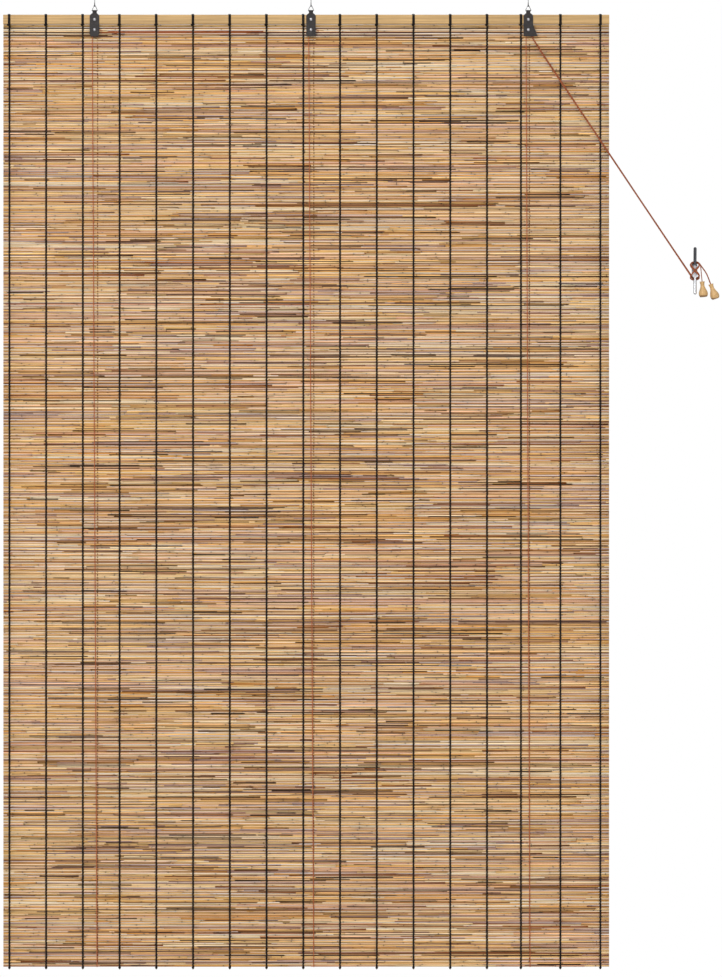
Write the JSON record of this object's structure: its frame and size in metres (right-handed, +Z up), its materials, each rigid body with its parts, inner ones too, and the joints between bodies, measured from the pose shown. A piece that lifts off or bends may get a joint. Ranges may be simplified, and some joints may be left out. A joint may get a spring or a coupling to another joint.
{
  "type": "reed roll up blind",
  "caption": "Hanging blind of woven reeds under a wooden head rail, hooked at the top, with lift cords over sheaves and a pull cord tied off on a wall cleat.",
  "frame": {"origin": "on the middle screw hook's shank, in the ceiling plane", "axes": "+Z up along the hook's shank, the front of the blind faces -Y, +X to its right"},
  "size_m": [1.655, 0.0507, 2.2583],
  "materials": {
    "rail_wood": "planed pale wood, fine straight grain",
    "reed": "split reeds in golden, tan, grey and dark brown",
    "warp_cord": "black twisted polyester cord",
    "hook_steel": "zinc plated wire",
    "link_steel": "bright zinc plated wire",
    "bracket_paint": "dark grey paint on steel strip",
    "rivet_steel": "bright domed rivet heads",
    "sheave_plastic": "dark acetal",
    "lift_cord": "rust brown braided cord",
    "cleat_steel": "cast and polished, darker where worn",
    "screw_steel": "zinc plated",
    "knob_wood": "turned pale wood, lacquered"
  },
  "bodies": {
    "fixings": {"screw_hook_left": "hook_steel", "screw_hook_middle": "hook_steel", "screw_hook_right": "hook_steel", "cleat": "cleat_steel", "cleat_screws": "screw_steel", "pull_cord_single": "lift_cord", "pull_cord_pair": "lift_cord", "cord_winding": "lift_cord", "tail_cord_single": "lift_cord", "tail_cord_pair": "lift_cord", "pull_knob_1": "knob_wood", "pull_knob_2": "knob_wood", "stopper_knot_1": "lift_cord", "stopper_knot_2": "lift_cord"},
    "blind": {"headrail": "rail_wood", "reed_mat": "reed", "warp_cord_01": "warp_cord", "warp_cord_02": "warp_cord", "warp_cord_03": "warp_cord", "warp_cord_04": "warp_cord", "warp_cord_05": "warp_cord", "warp_cord_06": "warp_cord", "warp_cord_07": "warp_cord", "warp_cord_08": "warp_cord", "warp_cord_09": "warp_cord", "warp_cord_10": "warp_cord", "warp_cord_11": "warp_cord", "warp_cord_12": "warp_cord", "warp_cord_13": "warp_cord", "warp_cord_14": "warp_cord", "warp_cord_15": "warp_cord", "warp_cord_16": "warp_cord", "warp_cord_17": "warp_cord", "bracket_left": "bracket_paint", "mounting_rivet_left": "rivet_steel", "sheave_axle_left": "rivet_steel", "lift_cord_left": "lift_cord", "bracket_middle": "bracket_paint", "mounting_rivet_middle": "rivet_steel", "sheave_axle_middle": "rivet_steel", "lift_cord_middle": "lift_cord", "bracket_right": "bracket_paint", "mounting_rivet_right": "rivet_steel", "sheave_axle_right": "rivet_steel", "lift_cord_right": "lift_cord"},
    "link_left": {"hanging_link_left": "link_steel"},
    "link_middle": {"hanging_link_middle": "link_steel"},
    "link_right": {"hanging_link_right": "link_steel"},
    "sheave_left": {"sheave_left": "sheave_plastic"},
    "sheave_middle": {"sheave_middle": "sheave_plastic"},
    "sheave_right": {"sheave_right": "sheave_plastic"}
  },
  "joints": [
    {"name": "blind_swing", "type": "hinge", "parent": "fixings", "child": "blind", "pos_m": [0, 0, -0.01283], "axis": [1, 0, 0], "range_deg": [-15, 15], "deforming": ["pull_cord_single", "pull_cord_pair"]},
    {"name": "link_swing_left", "type": "hinge", "parent": "fixings", "child": "link_left", "pos_m": [-0.5, 0, -0.01283], "axis": [1, 0, 0], "range_deg": [-16, 16]},
    {"name": "link_swing_middle", "type": "hinge", "parent": "fixings", "child": "link_middle", "pos_m": [0, 0, -0.01283], "axis": [1, 0, 0], "range_deg": [-16, 16]},
    {"name": "link_swing_right", "type": "hinge", "parent": "fixings", "child": "link_right", "pos_m": [0.502, 0, -0.01283], "axis": [1, 0, 0], "range_deg": [-16, 16]},
    {"name": "sheave_spin_left", "type": "hinge", "parent": "blind", "child": "sheave_left", "pos_m": [-0.5, -0.0049, -0.06913], "axis": [0, 1, 0], "continuous": true},
    {"name": "sheave_spin_middle", "type": "hinge", "parent": "blind", "child": "sheave_middle", "pos_m": [0, -0.0049, -0.06913], "axis": [0, 1, 0], "continuous": true},
    {"name": "sheave_spin_right", "type": "hinge", "parent": "blind", "child": "sheave_right", "pos_m": [0.502, -0.0049, -0.06913], "axis": [0, 1, 0], "continuous": true}
  ],
  "couplings": [
    {"joint": "link_swing_left", "follows": "blind_swing", "ratio": 1},
    {"joint": "link_swing_middle", "follows": "blind_swing", "ratio": 1},
    {"joint": "link_swing_right", "follows": "blind_swing", "ratio": 1}
  ]
}
